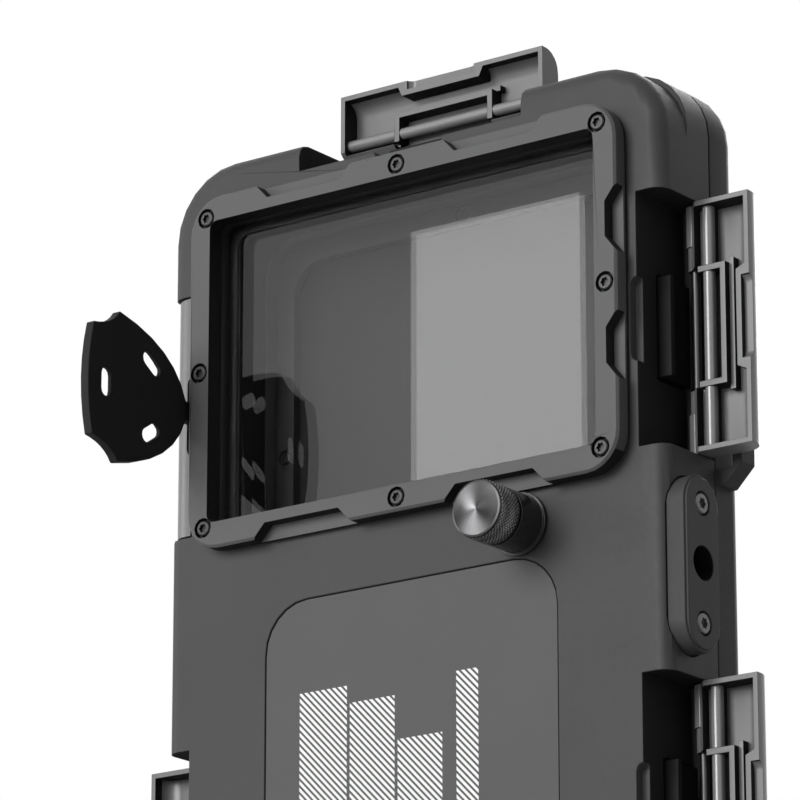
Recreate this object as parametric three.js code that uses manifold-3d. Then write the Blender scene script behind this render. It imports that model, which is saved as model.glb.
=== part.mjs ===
// Underwater camera housing: a pressure-proof case for a phone, with a glass lens window.
// Millimetres, +Z up. The case stands upright, the lens window looks along -Y and the
// touch screen side along +Y. The origin is the centre of the window pane's outer face.
import * as THREE from 'three';
import { mergeVertices } from 'three/addons/utils/BufferGeometryUtils.js';
import Module from 'manifold-3d';

const wasm = await Module();
wasm.setup();

// Clearances that every piece shares.
const fitGap = 0.2;
const threadGap = 0.1;
const turnGap = 0.3;
const runGap = 0.4;
const overrun = 1;

// How finely round forms are cut into flats.
const cornerSteps = 6;
const edgeSteps = 3;
const holeSides = 12;
const knobSides = 28;

// The two moulded halves.
const bodyWidth = 118.9;
const bodyHeight = 198;
const shellDepth = 16.4;
const coverDepth = 9;
const seamGap = 0.3;
const frontCornerRadius = 15;
const seamCornerRadius = 12.6;
const frontEdgeRadius = 3;
const backEdgeRadius = 3;
const squareCornerDepth = 9;

// The space for the phone.
const sideWall = 12.5;
const endWall = 13;
const cavityCornerRadius = 8;
const frontWall = 3;
const windowWall = 7;
const coverWall = 2.8;
const screenLedge = 5;
const screenCornerRadius = 7;

// The seal in the seam face of the shell.
const sealLand = 1.1;
const sealWidth = 2.4;
const sealDepth = 1.8;

// The lens window and the frame screwed over it.
const bezelSideMargin = 7.9;
const bezelTopMargin = 8.6;
const bezelHeight = 73.2;
const bezelDepth = 4;
const bezelCornerRadius = 7.5;
const bezelEdgeRadius = 0.5;
const bezelSideRim = 5.1;
const bezelEndRim = 5.3;
const windowCornerRadius = 1.8;
const paneOverlap = 0.8;
const paneSetback = 1.5;
const paneThickness = 3;
const paneStep = 0.8;
const gasketThickness = 0.8;
const gasketWidth = 2;
const pocketDepth = 2.7;
const longPocketStart = 11.15;
const longPocketEndMargin = 16.75;
const longPocketSlope = 2.85;
const longPocketInset = 3;
const shortPocketStart = 5.85;
const shortPocketEndMargin = 17.45;
const shortPocketSlope = 3.15;
const shortPocketInset = 2.5;

// The small screws that hold the window frame.
const cornerScrewSideInset = 4.1;
const cornerScrewEndInset = 4.4;
const sideScrewInset = 2.7;
const endScrewInset = 2.8;
const bezelScrewHeadRadius = 1.65;
const bezelScrewHeadGap = 0.4;
const bezelScrewHeadHeight = 1.4;
const bezelScrewRadius = 0.9;
const bezelScrewLength = 8;
const screwSocketDepth = 0.8;
const screwCrownShare = 0.25;
const socketLobeShare = 0.58;
const socketWaistShare = 0.4;
const socketDepthShare = 0.7;
const socketLobes = 6;

// The inlaid plate on the front face.
const labelSideMargin = 24.8;
const labelBottomMargin = 11.1;
const labelKnobGap = 0.1;
const labelCornerRadius = 10;
const labelRecess = 0.8;
const labelThickness = 0.4;

// The clamp knob and the pad that it drives inside.
const knobSideInset = 8.2;
const knobBezelGap = 0.1;
const knobRadius = 5.9;
const knobRidge = 0.35;
const knobLength = 6.7;
const knobEdge = 0.6;
const collarRadius = 5.7;
const collarLength = 7.6;
const collarFlangeRadius = 6.2;
const collarFlange = 0.8;
const spindleRadius = 2.5;
const spindleHeadDepth = 4;
const sealRingRadius = 3.9;
const sealRingLength = 1.6;
const sealRingPlace = 1.2;
const bossRadius = 5.6;
const bossLength = 1.6;
const padWidth = 26;
const padHeight = 11.4;
const padThickness = 3;
const padFaceThickness = 1.5;
const padWallGap = 0.6;
const railThickness = 1.5;
const railLength = 10;
const railDepth = 6;

// The tripod plate on the right side, its screws and its threaded insert.
const plateDrop = 0.9;
const plateHeight = 34;
const plateWidth = 11.4;
const plateSetback = 1.2;
const plateProud = 3.4;
const plateSunk = 1;
const plateEdge = 0.5;
const plateHoleRadius = 3.3;
const plateScrewPlace = 11.5;
const plateScrewHeadRadius = 2.1;
const plateScrewHeadHeight = 1.3;
const plateScrewRadius = 1.2;
const plateScrewLength = 8;
const insertRadius = 4.6;
const insertBoreRadius = 3.1;
const insertLength = 7;

// Latches: one lever, its pin, its recess in the shell and its hook on the cover.
const leverLength = 49.6;
const leverReach = 14.2;
const leverDepth = 5.5;
const leverWall = 1.3;
const leverRim = 1.05;
const leverEdgeRadius = 4.3;
const leverInset = 0.1;
const leverHeel = 0.4;
const leverShoulder = 2.2;
const pivotInset = 2;
const pivotSetback = 2.1;
const pinRadius = 0.9;
const pinSink = 3;
const barrelRadius = 1.75;
const barrelLength = 8.2;
const earRadius = 1.4;
const earLength = 4.7;
const camRadius = 1.2;
const camIn = 1.4;
const camAhead = 4;
const camWebShare = 0.7;
const frameArm = 1.2;
const frameBar = 1.2;
const frameGap = 1.9;
const frameRise = 3.3;
const frameStep = 1;
const frameStepRise = 1.8;
const sideEndGap = 0.3;
const endEndGap = 2.2;
const hookWidth = 20;
const hookThickness = 2.4;
const hookLip = 1.9;
const hookLipThickness = 1.4;
const hookRoot = 3;
const slotWidth = 3.2;
const slotLength = 16.6;
const slotShift = 0.2;
const slotDepthShell = 2.1;
const slotDepthLever = 1.8;
const notchWall = 1.2;
const notchSlope = 1.4;

// Where the latches sit along their edges, and how far each stands open.
const latchEndDistance = 52.2;
const sideOpenAngle = 90;
const topOpenAngle = 90;

// The strap lug on the right edge of the cover.
const lugDrop = 22;
const lugHeight = 16;
const lugReach = 5.5;
const lugThickness = 4.6;
const lugSetback = 0.7;
const lugBar = 2.2;
const lugHoleHeight = 9;
const lugChamfer = 4;

// The touch membrane and the frame that clamps it.
const membraneThickness = 1;
const membraneMargin = 1;
const clampThickness = 2;
const clampEdge = 0.6;
const clampScrewHeadRadius = 1.3;
const clampScrewHeadHeight = 1;
const clampScrewRadius = 0.8;
const clampScrewLength = 3.8;
const clampScrewsPerSide = 2;
const clampScrewsPerEnd = 1;

// The soft strips that centre the phone.
const stripThickness = 1.8;
const stripHeight = 60;
const stripDepth = 9;
const stripCentreZ = 70;
const footWidth = 50;
const footHeight = 5;

// The opening key, a plate like a pick with two horns, whose tip sits in the left upper latch.
const keyThickness = 2;
const keyWebThickness = 1;
const keyRimWidth = 2;
const keyLength = 35.2;
const keySink = 1.5;
const keyTipWidth = 4;
const keyTipLength = 4.9;
const keyFlankPlace = 8.5;
const keyFlankWidth = 24.4;
const keyHornPlace = 25.8;
const keyHornWidth = 30.9;
const keyNotchPlace = 28;
const keyNotchWidth = 24.2;
const keyEndWidth = 22.9;
const keyEndBulge = 1.5;
const keySlotLength = 5.8;
const keySlotWidth = 2.8;
const keyEndSlotPlace = 5.6;
const keySideSlotPlace = 19.5;
const keySideSlotOffset = 7.1;
const keyEndSlotAngle = 90;
const keySideSlotAngle = 33;

// Places worked out from the sizes above.
const shellFrontY = -(shellDepth + coverDepth) / 2;
const seamY = shellFrontY + shellDepth;
const coverBackY = seamY + coverDepth;
const halfWidth = bodyWidth / 2;
const bodyCentreZ = bodyHeight / 2;
const cavityWidth = bodyWidth - 2 * sideWall;
const cavityHeight = bodyHeight - 2 * endWall;
const screenWidth = cavityWidth - 2 * screenLedge;
const screenHeight = cavityHeight - 2 * screenLedge;
const windowZ = bodyHeight - bezelTopMargin - bezelHeight / 2;
const bezelWidth = bodyWidth - 2 * bezelSideMargin;
const windowWidth = bezelWidth - 2 * bezelSideRim;
const windowHeight = bezelHeight - 2 * bezelEndRim;
const labelWidth = bodyWidth - 2 * labelSideMargin;
const knobX = labelWidth / 2 - knobSideInset;
const knobZ = windowZ - bezelHeight / 2 - knobBezelGap - collarFlangeRadius;
const labelTopZ = knobZ - collarFlangeRadius - labelKnobGap;
const labelHeight = labelTopZ - labelBottomMargin;
const labelCentreZ = labelBottomMargin + labelHeight / 2;
const upperLatchZ = bodyHeight - latchEndDistance;
const lowerLatchZ = latchEndDistance;
const plateZ = bodyCentreZ - plateDrop;
const lugZ = upperLatchZ - lugDrop;
const cavityFrontY = shellFrontY + frontWall;
const windowInnerY = shellFrontY + windowWall;
const bezelFrontY = shellFrontY - bezelDepth;
const paneFrontY = shellFrontY + paneSetback;
const ledgeY = paneFrontY + paneThickness + fitGap + gasketThickness + fitGap;
const coverFrontY = seamY + seamGap;
const coverLedgeY = coverBackY - coverWall;
const pivotX = halfWidth - pivotInset;
const pivotY = seamY - pivotSetback;
const leverOuter = pivotInset - leverInset;
const leverInner = leverOuter - leverDepth;
const leverWallFace = leverOuter - leverWall;
const recessFloor = leverInner - runGap;
const hookTop = -camIn - camRadius - runGap - turnGap / 2;
const hookBottom = hookTop - hookThickness;
const hookFrontY = -camAhead - camRadius - runGap - hookLipThickness;
const slotCentre = (leverInner + recessFloor) / 2 - slotShift;
const frameFront = camAhead + camRadius + frameGap;

// Turns a closed three.js geometry into a solid that can be joined and cut.
function solid(geometry) {
  const bare = geometry.index ? geometry.toNonIndexed() : geometry.clone();
  for (const name of Object.keys(bare.attributes)) {
    if (name !== 'position') bare.deleteAttribute(name);
  }
  const merged = mergeVertices(bare);
  const vertProperties = new Float32Array(merged.attributes.position.array);
  const triVerts = new Uint32Array(merged.index.array);
  return new wasm.Manifold(new wasm.Mesh({ numProp: 3, vertProperties, triVerts }));
}

// Turns a solid back into a three.js geometry.
function shaped(body) {
  const mesh = body.getMesh();
  const geometry = new THREE.BufferGeometry();
  geometry.setAttribute('position', new THREE.BufferAttribute(new Float32Array(mesh.vertProperties), 3));
  geometry.setIndex(new THREE.BufferAttribute(new Uint32Array(mesh.triVerts), 1));
  geometry.computeVertexNormals();
  return geometry;
}

// Joins or cuts a list of geometries with a first one.
function joined(first, ...others) {
  return others.reduce((body, other) => body.add(solid(other)), first);
}

function cut(first, ...others) {
  return others.reduce((body, other) => body.subtract(solid(other)), first);
}

// A rectangle with round corners, centred on a point.
function roundedRectangle(width, height, radius, centreX = 0, centreY = 0, steps = cornerSteps) {
  const points = [];
  const quarters = [[1, -1, -1], [1, 1, 0], [-1, 1, 1], [-1, -1, 2]];
  for (const [sideX, sideY, startQuarter] of quarters) {
    const x = centreX + sideX * (width / 2 - radius);
    const y = centreY + sideY * (height / 2 - radius);
    for (let step = 0; step <= steps; step += 1) {
      const angle = (Math.PI / 2) * (startQuarter + step / steps);
      const point = [x + radius * Math.cos(angle), y + radius * Math.sin(angle)];
      points.push(new THREE.Vector2(...point));
    }
  }
  const limit = radius / (100 * steps);
  const separate = (point, index) => point.distanceTo(points.at(index - 1)) > limit;
  return new THREE.Shape(points.filter(separate));
}

// A polygon through the given points.
function polygon(points) {
  return new THREE.Shape(points.map(([x, y]) => new THREE.Vector2(x, y)));
}

// Extrudes a shape drawn in X and Z from one Y to another.
function alongY(shape, fromY, toY) {
  const geometry = new THREE.ExtrudeGeometry(shape, { depth: toY - fromY, bevelEnabled: false });
  geometry.rotateX(Math.PI / 2);
  geometry.translate(0, toY, 0);
  return geometry;
}

// The same, with both end edges rounded inwards.
function alongYRounded(shape, fromY, toY, radius, steps = edgeSteps) {
  const options = { depth: toY - fromY - 2 * radius, bevelEnabled: true, bevelThickness: radius };
  options.bevelSize = radius;
  options.bevelOffset = -radius;
  options.bevelSegments = steps;
  const geometry = new THREE.ExtrudeGeometry(shape, options);
  geometry.rotateX(Math.PI / 2);
  geometry.translate(0, toY - radius, 0);
  return geometry;
}

// Extrudes a shape drawn in Y and Z along X.
function alongX(shape, fromX, toX) {
  const geometry = new THREE.ExtrudeGeometry(shape, { depth: toX - fromX, bevelEnabled: false });
  geometry.rotateX(Math.PI / 2);
  geometry.rotateZ(Math.PI / 2);
  geometry.translate(fromX, 0, 0);
  return geometry;
}

// Extrudes a shape drawn in X and Y, centred along Z.
function alongZ(shape, length) {
  const geometry = new THREE.ExtrudeGeometry(shape, { depth: length, bevelEnabled: false });
  geometry.translate(0, 0, -length / 2);
  return geometry;
}

// A box between two corners.
function block(fromX, toX, fromY, toY, fromZ, toZ) {
  const geometry = new THREE.BoxGeometry(toX - fromX, toY - fromY, toZ - fromZ);
  geometry.translate((fromX + toX) / 2, (fromY + toY) / 2, (fromZ + toZ) / 2);
  return geometry;
}

// Round bars along each axis.
function barZ(radius, fromZ, toZ, x = 0, y = 0, sides = holeSides) {
  const geometry = new THREE.CylinderGeometry(radius, radius, toZ - fromZ, sides);
  geometry.rotateX(Math.PI / 2);
  geometry.translate(x, y, (fromZ + toZ) / 2);
  return geometry;
}

function barY(radius, fromY, toY, x, z, sides = holeSides) {
  const geometry = new THREE.CylinderGeometry(radius, radius, toY - fromY, sides);
  geometry.translate(x, (fromY + toY) / 2, z);
  return geometry;
}

function barX(radius, fromX, toX, y, z, sides = holeSides) {
  const geometry = new THREE.CylinderGeometry(radius, radius, toX - fromX, sides);
  geometry.rotateZ(Math.PI / 2);
  geometry.translate((fromX + toX) / 2, y, z);
  return geometry;
}

// A solid of revolution about Y through a point, from radius and Y pairs that start and end on the axis.
function turnedY(profile, x, z, sides = holeSides) {
  const geometry = new THREE.LatheGeometry(profile.map(([r, y]) => new THREE.Vector2(r, y)), sides);
  geometry.translate(x, 0, z);
  return geometry;
}

// The group of one latch: its own frame has the pin along Z, the lever closed towards -Y
// and the outside of the case towards +X.
const latches = [
  { name: 'right_upper', x: pivotX, z: upperLatchZ, turn: 0, open: sideOpenAngle },
  { name: 'right_lower', x: pivotX, z: lowerLatchZ, turn: 0, open: sideOpenAngle },
  { name: 'left_upper', x: -pivotX, z: upperLatchZ, turn: 180, open: 0 },
  { name: 'left_lower', x: -pivotX, z: lowerLatchZ, turn: 180, open: sideOpenAngle },
  { name: 'top', x: 0, z: bodyHeight - pivotInset, turn: -90, open: topOpenAngle },
  { name: 'bottom', x: 0, z: pivotInset, turn: 90, open: 0 },
];

// The recesses in the two short edges are longer than those in the sides.
function recessHalf(latch) {
  return leverLength / 2 + (latch.x === 0 ? endEndGap : sideEndGap);
}

// The same places as a matrix, for cuts in the shell and hooks on the cover.
function latchMatrix(latch) {
  const matrix = new THREE.Matrix4().makeRotationY(THREE.MathUtils.degToRad(latch.turn));
  matrix.setPosition(latch.x, pivotY, latch.z);
  return matrix;
}

// Shapes that several pieces share.
const bodyShape = roundedRectangle(bodyWidth, bodyHeight, seamCornerRadius, 0, bodyCentreZ);
const frontShape = roundedRectangle(bodyWidth, bodyHeight, frontCornerRadius, 0, bodyCentreZ);
const cavityCentreZ = bodyCentreZ;

function cavityShape(margin, centreZ = cavityCentreZ) {
  const radius = cavityCornerRadius + margin;
  return roundedRectangle(cavityWidth + 2 * margin, cavityHeight + 2 * margin, radius, 0, centreZ);
}

// The eight screw places of the window frame, as X and Z.
const bezelScrewPlaces = [
  [sideScrewInset - bezelWidth / 2, 0],
  [bezelWidth / 2 - sideScrewInset, 0],
  [0, endScrewInset - bezelHeight / 2],
  [0, bezelHeight / 2 - endScrewInset],
];
for (const sideX of [-1, 1]) {
  for (const sideZ of [-1, 1]) {
    const cornerX = sideX * (bezelWidth / 2 - cornerScrewSideInset);
    const cornerZ = sideZ * (bezelHeight / 2 - cornerScrewEndInset);
    bezelScrewPlaces.push([cornerX, cornerZ]);
  }
}

// The screw places of the membrane clamp, as X and Z.
function clampScrewPlaces() {
  const places = [];
  const ringX = (screenWidth + cavityWidth - 2 * clampEdge) / 4;
  const ringZ = (screenHeight + cavityHeight - 2 * clampEdge) / 4;
  for (const side of [-1, 1]) {
    for (let index = 0; index < clampScrewsPerSide; index += 1) {
      const share = (index + 1 / 2) / clampScrewsPerSide - 1 / 2;
      places.push([side * ringX, bodyCentreZ + share * screenHeight]);
    }
    for (let index = 0; index < clampScrewsPerEnd; index += 1) {
      const share = (index + 1 / 2) / clampScrewsPerEnd - 1 / 2;
      places.push([share * screenWidth, bodyCentreZ + side * ringZ]);
    }
  }
  return places;
}

// The pill-shaped slot for the key, shared by the shell and the lever, in the latch frame.
function keySlotCut(fromY, toY) {
  const outline = roundedRectangle(slotWidth, slotLength, slotWidth / 2, slotCentre, 0, edgeSteps);
  return alongY(outline, fromY, toY);
}

// What one latch takes out of the shell, in the latch frame.
function latchRecess(latch) {
  const frontY = shellFrontY - pivotY;
  const backY = seamY - pivotY;
  const outer = pivotInset + overrun;
  const half = recessHalf(latch);
  const hookHalf = hookWidth / 2 + runGap + fitGap;
  return [
    block(recessFloor, outer, frontY - overrun, backY + overrun, -half, half),
    block(hookBottom - runGap, outer, hookFrontY - runGap - fitGap, backY + overrun, -hookHalf, hookHalf),
    barZ(pinRadius + turnGap, -half - pinSink - runGap, half + pinSink + runGap),
    keySlotCut(frontY - overrun, frontY + slotDepthShell),
  ];
}

// The half that carries the lens window.
function cameraShell() {
  const front = alongYRounded(frontShape, shellFrontY, seamY + frontEdgeRadius, frontEdgeRadius);
  const back = alongY(bodyShape, shellFrontY + squareCornerDepth, seamY);
  const behind = block(-bodyWidth, bodyWidth, seamY, coverBackY + bodyWidth, -overrun, bodyHeight + overrun);
  let body = cut(joined(solid(front), back), behind);
  const deepTop = knobZ + padHeight / 2 + padWallGap;
  const deepCavity = solid(alongY(cavityShape(0), cavityFrontY, seamY + overrun));
  const windowBlock = block(-bodyWidth, bodyWidth, shellFrontY, windowInnerY, deepTop, bodyHeight);
  body = body.subtract(cut(deepCavity, windowBlock));
  body = cut(body, ...windowCuts());
  body = joined(body, ...clampBosses());
  body = cut(body, barY(spindleRadius + turnGap, shellFrontY - overrun, windowInnerY, knobX, knobZ));
  const [sealFromY, sealToY] = [sealRingStart - fitGap, sealRingEnd + fitGap];
  body = cut(body, barY(sealRingRadius + fitGap, sealFromY, sealToY, knobX, knobZ));
  const groove = solid(alongY(cavityShape(sealLand + sealWidth), seamY - sealDepth, seamY + overrun));
  const land = alongY(cavityShape(sealLand), seamY - sealDepth - overrun, seamY + 2 * overrun);
  body = body.subtract(cut(groove, land));
  body = cut(body, labelOutline(labelWidth, labelHeight, shellFrontY - overrun, shellFrontY + labelRecess));
  body = cut(body, ...mountCuts());
  for (const latch of latches) {
    const matrix = latchMatrix(latch);
    body = cut(body, ...latchRecess(latch).map((geometry) => geometry.applyMatrix4(matrix)));
  }
  return body;
}

// The pane's pocket, the hole behind it and the screw holes, cut from the shell.
function windowCuts() {
  const grow = 2 * (paneOverlap + fitGap);
  const radius = windowCornerRadius + paneOverlap;
  const pocket = roundedRectangle(windowWidth + grow, windowHeight + grow, radius, 0, windowZ);
  const holeWidth = windowWidth + 2 * paneOverlap - 2 * gasketWidth;
  const holeHeight = windowHeight + 2 * paneOverlap - 2 * gasketWidth;
  const hole = roundedRectangle(holeWidth, holeHeight, windowCornerRadius, 0, windowZ);
  const cuts = [
    alongY(pocket, shellFrontY - overrun, ledgeY),
    alongY(hole, shellFrontY, windowInnerY + overrun),
  ];
  const bottomY = bezelFrontY + bezelScrewHeadHeight + bezelScrewLength + fitGap;
  for (const [x, z] of bezelScrewPlaces) {
    cuts.push(barY(bezelScrewRadius + threadGap, shellFrontY - overrun, bottomY, x, windowZ + z));
  }
  return cuts;
}

// The inner boss and the two rails that guide the clamp pad.
const bossEndY = cavityFrontY + bossLength;
const sealRingStart = shellFrontY + sealRingPlace;
const sealRingEnd = sealRingStart + sealRingLength;

function clampBosses() {
  const parts = [barY(bossRadius, cavityFrontY - overrun, bossEndY, knobX, knobZ, knobSides)];
  for (const side of [-1, 1]) {
    const innerX = knobX + side * (padWidth / 2 + runGap);
    const outerX = innerX + side * railThickness;
    const lowX = Math.min(innerX, outerX);
    const highX = Math.max(innerX, outerX);
    const half = railLength / 2;
    const railEndY = cavityFrontY + railDepth;
    parts.push(block(lowX, highX, cavityFrontY - overrun, railEndY, knobZ - half, knobZ + half));
  }
  return parts;
}

function labelOutline(width, height, fromY, toY) {
  return alongY(roundedRectangle(width, height, labelCornerRadius, 0, labelCentreZ), fromY, toY);
}

// What the tripod plate takes out of the shell's side.
const plateY = shellFrontY + plateSetback + plateWidth / 2;
const plateBackX = halfWidth - plateSunk;
const plateFrontX = halfWidth + plateProud;

function plateShape(margin) {
  const width = plateWidth + 2 * margin;
  const height = plateHeight + 2 * margin;
  return roundedRectangle(width, height, width / 2, plateY, plateZ);
}

function mountCuts() {
  const insertEndX = plateBackX - insertLength - 2 * fitGap;
  const cuts = [
    alongX(plateShape(fitGap), plateBackX - fitGap, plateFrontX + overrun),
    barX(insertRadius + fitGap, insertEndX, halfWidth, plateY, plateZ, knobSides),
  ];
  for (const side of [-1, 1]) {
    const endX = plateFrontX - plateScrewHeadHeight - plateScrewLength - fitGap;
    const z = plateZ + side * plateScrewPlace;
    cuts.push(barX(plateScrewRadius + threadGap, endX, halfWidth, plateY, z));
  }
  return cuts;
}

// The screwed frame over the lens window, with its blind pockets and screw seats.
function windowBezel() {
  const outline = roundedRectangle(bezelWidth, bezelHeight, bezelCornerRadius, 0, windowZ);
  const back = shellFrontY - fitGap;
  let body = solid(alongYRounded(outline, bezelFrontY, back, bezelEdgeRadius, 1));
  const opening = roundedRectangle(windowWidth, windowHeight, windowCornerRadius, 0, windowZ);
  body = cut(body, alongY(opening, bezelFrontY - overrun, shellFrontY));
  body = cut(body, ...bezelPockets());
  for (const [x, z] of bezelScrewPlaces) {
    const seatY = bezelFrontY + bezelScrewHeadHeight;
    const headHole = bezelScrewHeadRadius + bezelScrewHeadGap;
    body = cut(body, barY(headHole, bezelFrontY - overrun, seatY, x, windowZ + z, holeSides));
    body = cut(body, barY(bezelScrewRadius + fitGap, bezelFrontY, shellFrontY, x, windowZ + z));
  }
  return body;
}

// The four corners of a pocket that opens at an edge: its place along the edge and its depth into it.
function pocketCorners(start, end, slope, inset) {
  const spread = slope * (overrun / inset);
  return [
    [start - spread, -overrun],
    [end + spread, -overrun],
    [end - slope, inset],
    [start + slope, inset],
  ];
}

// Blind pockets with sloped ends along the outer edge: four long ones, and two short ones on the right.
function bezelPockets() {
  const pockets = [];
  const floorY = bezelFrontY + pocketDepth;
  const longEnd = bezelWidth / 2 - longPocketEndMargin;
  const shortEnd = bezelHeight / 2 - shortPocketEndMargin;
  const long = pocketCorners(longPocketStart, longEnd, longPocketSlope, longPocketInset);
  const short = pocketCorners(shortPocketStart, shortEnd, shortPocketSlope, shortPocketInset);
  for (const sideX of [-1, 1]) {
    for (const sideZ of [-1, 1]) {
      const onEnd = ([along, inward]) => [sideX * along, windowZ + sideZ * (bezelHeight / 2 - inward)];
      pockets.push(alongY(polygon(long.map(onEnd)), bezelFrontY - overrun, floorY));
    }
  }
  for (const side of [-1, 1]) {
    const onRight = ([along, inward]) => [bezelWidth / 2 - inward, windowZ + side * along];
    pockets.push(alongY(polygon(short.map(onRight)), bezelFrontY - overrun, floorY));
  }
  return pockets;
}

// The pane is stepped: a thinner rim lies under the frame and the middle stands up in its opening.
function windowPane() {
  const width = windowWidth + 2 * paneOverlap;
  const height = windowHeight + 2 * paneOverlap;
  const rim = roundedRectangle(width, height, windowCornerRadius + paneOverlap, 0, windowZ);
  const middleWidth = windowWidth - 2 * fitGap;
  const middleHeight = windowHeight - 2 * fitGap;
  const middle = roundedRectangle(middleWidth, middleHeight, windowCornerRadius - fitGap, 0, windowZ);
  const body = solid(alongY(rim, paneFrontY + paneStep, paneFrontY + paneThickness));
  return joined(body, alongY(middle, paneFrontY, paneFrontY + paneThickness));
}

// A flat ring between two rounded rectangles around the window.
function windowRing(width, fromY, toY) {
  const outerWidth = windowWidth + 2 * paneOverlap;
  const outerHeight = windowHeight + 2 * paneOverlap;
  const outer = roundedRectangle(outerWidth, outerHeight, windowCornerRadius + paneOverlap, 0, windowZ);
  const innerRadius = Math.max(windowCornerRadius + paneOverlap - width, edgeSteps * fitGap);
  const inner = roundedRectangle(outerWidth - 2 * width, outerHeight - 2 * width, innerRadius, 0, windowZ);
  return cut(solid(alongY(outer, fromY, toY)), alongY(inner, fromY - overrun, toY + overrun));
}

function windowGasket() {
  const fromY = paneFrontY + paneThickness + fitGap;
  return windowRing(gasketWidth, fromY, fromY + gasketThickness);
}

function paneSpacer() {
  return windowRing(paneOverlap, shellFrontY, paneFrontY + paneStep - fitGap);
}

// One pan-head screw along Y with a six-lobed socket, its head towards -Y.
function screwY(headRadius, headHeight, radius, length, headY, x, z) {
  const crown = headHeight * screwCrownShare;
  const profile = [
    [0, headY],
    [headRadius - crown, headY],
    [headRadius, headY + crown],
    [headRadius, headY + headHeight],
    [radius, headY + headHeight],
    [radius, headY + headHeight + length],
    [0, headY + headHeight + length],
  ];
  const body = solid(turnedY(profile, x, z));
  const socketDepth = Math.min(screwSocketDepth, headHeight * socketDepthShare);
  const points = [];
  for (let index = 0; index < 2 * socketLobes; index += 1) {
    const reach = headRadius * (index % 2 === 0 ? socketLobeShare : socketWaistShare);
    const angle = (Math.PI * index) / socketLobes;
    points.push([x + reach * Math.cos(angle), z + reach * Math.sin(angle)]);
  }
  return cut(body, alongY(polygon(points), headY - overrun, headY + socketDepth));
}

function bezelScrews() {
  return bezelScrewPlaces.map(([x, z]) => screwY(
    bezelScrewHeadRadius,
    bezelScrewHeadHeight - fitGap,
    bezelScrewRadius,
    bezelScrewLength,
    bezelFrontY,
    x,
    windowZ + z,
  ));
}

// The seal ring that lies in the seam face, a little proud of it until the cover closes.
function caseSeal() {
  const inner = sealLand + fitGap;
  const outer = sealLand + sealWidth - fitGap;
  const fromY = seamY - sealDepth + fitGap;
  const toY = seamY + seamGap - fitGap;
  const ring = solid(alongY(cavityShape(outer), fromY, toY));
  return cut(ring, alongY(cavityShape(inner), fromY - overrun, toY + overrun));
}

function labelPlate() {
  const floorY = shellFrontY + labelRecess - fitGap;
  const width = labelWidth - 2 * fitGap;
  const height = labelHeight - 2 * fitGap;
  return solid(labelOutline(width, height, floorY - labelThickness, floorY));
}

// The fixed collar that the knob turns on.
function knobCollar() {
  const startY = shellFrontY - fitGap;
  const endY = shellFrontY - collarLength;
  const profile = [
    [spindleRadius + turnGap, startY],
    [spindleRadius + turnGap, endY],
    [collarRadius, endY],
    [collarRadius, startY - collarFlange],
    [collarFlangeRadius, startY - collarFlange],
    [collarFlangeRadius, startY],
    [spindleRadius + turnGap, startY],
  ];
  return solid(turnedY(profile, knobX, knobZ, knobSides));
}

// The knurled cap of the knob: straight ridges, a chamfered rim and a blind hole for the spindle.
const knobBackY = shellFrontY - collarLength - turnGap;
const knobFrontY = knobBackY - knobLength;

function clampKnob() {
  const points = [];
  for (let index = 0; index < 2 * knobSides; index += 1) {
    const radius = index % 2 === 0 ? knobRadius : knobRadius - knobRidge;
    const angle = (Math.PI * index) / knobSides;
    points.push([knobX + radius * Math.cos(angle), knobZ + radius * Math.sin(angle)]);
  }
  const ridged = solid(alongY(polygon(points), knobFrontY, knobBackY));
  const profile = [
    [0, knobFrontY],
    [knobRadius - knobEdge, knobFrontY],
    [knobRadius + fitGap, knobFrontY + knobEdge],
    [knobRadius + fitGap, knobBackY],
    [0, knobBackY],
  ];
  const bevelled = ridged.intersect(solid(turnedY(profile, knobX, knobZ, knobSides)));
  const boreY = knobBackY - spindleHeadDepth;
  return cut(bevelled, barY(spindleRadius + fitGap, boreY, shellFrontY, knobX, knobZ));
}

const spindleStartY = knobBackY - spindleHeadDepth + fitGap;
const spindleEndY = bossEndY + runGap + padThickness + padFaceThickness;

function clampSpindle() {
  return solid(barY(spindleRadius, spindleStartY, spindleEndY, knobX, knobZ));
}

function spindleSeal() {
  const profile = [
    [spindleRadius + fitGap, sealRingStart],
    [sealRingRadius, sealRingStart],
    [sealRingRadius, sealRingEnd],
    [spindleRadius + fitGap, sealRingEnd],
    [spindleRadius + fitGap, sealRingStart],
  ];
  return solid(turnedY(profile, knobX, knobZ));
}

// The pad is a nut on the spindle that the rails stop from turning.
const padBackY = bossEndY + runGap;

function clampPad() {
  const outline = roundedRectangle(padWidth, padHeight, bossLength, knobX, knobZ, edgeSteps);
  const body = solid(alongY(outline, padBackY, padBackY + padThickness));
  const endY = padBackY + padThickness + overrun;
  return cut(body, barY(spindleRadius + turnGap, padBackY - overrun, endY, knobX, knobZ));
}

function padFace() {
  const outline = roundedRectangle(padWidth, padHeight, bossLength, knobX, knobZ, edgeSteps);
  const fromY = padBackY + padThickness + fitGap;
  const toY = fromY + padFaceThickness;
  const body = solid(alongY(outline, fromY, toY));
  return cut(body, barY(spindleRadius + turnGap, fromY - overrun, toY + overrun, knobX, knobZ));
}

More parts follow.
